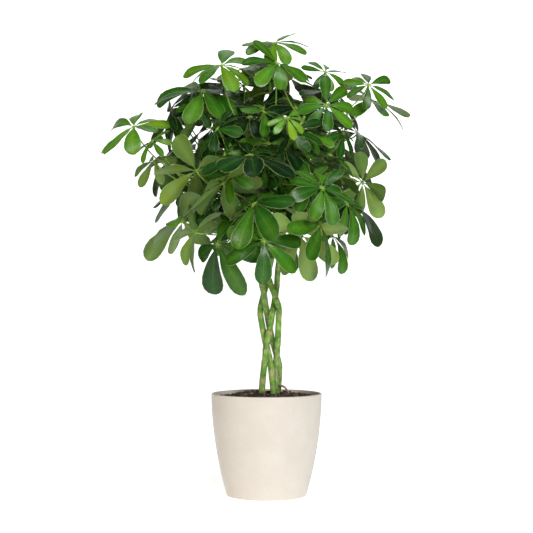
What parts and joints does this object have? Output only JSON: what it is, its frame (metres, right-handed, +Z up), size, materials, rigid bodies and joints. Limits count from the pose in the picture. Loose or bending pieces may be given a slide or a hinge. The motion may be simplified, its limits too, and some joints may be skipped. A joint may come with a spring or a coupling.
{
  "type": "potted schefflera",
  "caption": "Dwarf umbrella tree grown as a standard: braided green stems, a round crown of hand-shaped leaves, soil and a plain round pot.",
  "frame": {"origin": "middle of the pot's flat underside", "axes": "+Z up along the stems, -Y towards the crown's fullest side, +X to the right of it"},
  "size_m": [0.7133, 0.6094, 1.0543],
  "materials": {
    "pot_plastic": "smooth moulded cream plastic, soft sheen",
    "peat": "loose dark peat and bark crumbs",
    "green_bark": "smooth green bark with brown leaf scars",
    "leaf": "glossy leathery evergreen leaf, paler and duller below"
  },
  "bodies": {
    "root": {"pot": "pot_plastic", "soil": "peat", "stem_a": "green_bark", "stem_b": "green_bark", "stem_c": "green_bark", "stem_d": "green_bark", "leaf_01": "leaf", "leaf_02": "leaf", "leaf_03": "leaf", "leaf_04": "leaf", "leaf_05": "leaf", "leaf_06": "leaf", "leaf_07": "leaf", "leaf_08": "leaf", "leaf_09": "leaf", "leaf_10": "leaf", "leaf_11": "leaf", "leaf_12": "leaf", "leaf_13": "leaf", "leaf_14": "leaf", "leaf_15": "leaf", "leaf_16": "leaf", "leaf_17": "leaf", "leaf_18": "leaf", "leaf_19": "leaf", "leaf_20": "leaf", "leaf_21": "leaf", "leaf_22": "leaf", "leaf_23": "leaf", "leaf_24": "leaf", "leaf_25": "leaf", "leaf_26": "leaf", "leaf_27": "leaf", "leaf_28": "leaf", "leaf_29": "leaf", "leaf_30": "leaf", "leaf_31": "leaf", "leaf_32": "leaf", "leaf_33": "leaf", "leaf_34": "leaf", "leaf_35": "leaf", "leaf_36": "leaf", "leaf_37": "leaf", "leaf_38": "leaf", "leaf_39_pair": "leaf", "leaf_40_pair": "leaf", "leaf_41_pair": "leaf", "leaf_42_pair": "leaf", "leaf_43_pair": "leaf", "leaf_44_pair": "leaf", "leaf_45_pair": "leaf", "leaf_46_pair": "leaf", "leaf_47_pair": "leaf", "leaf_48_pair": "leaf", "leaf_49_pair": "leaf", "leaf_50_pair": "leaf"}
  },
  "joints": []
}
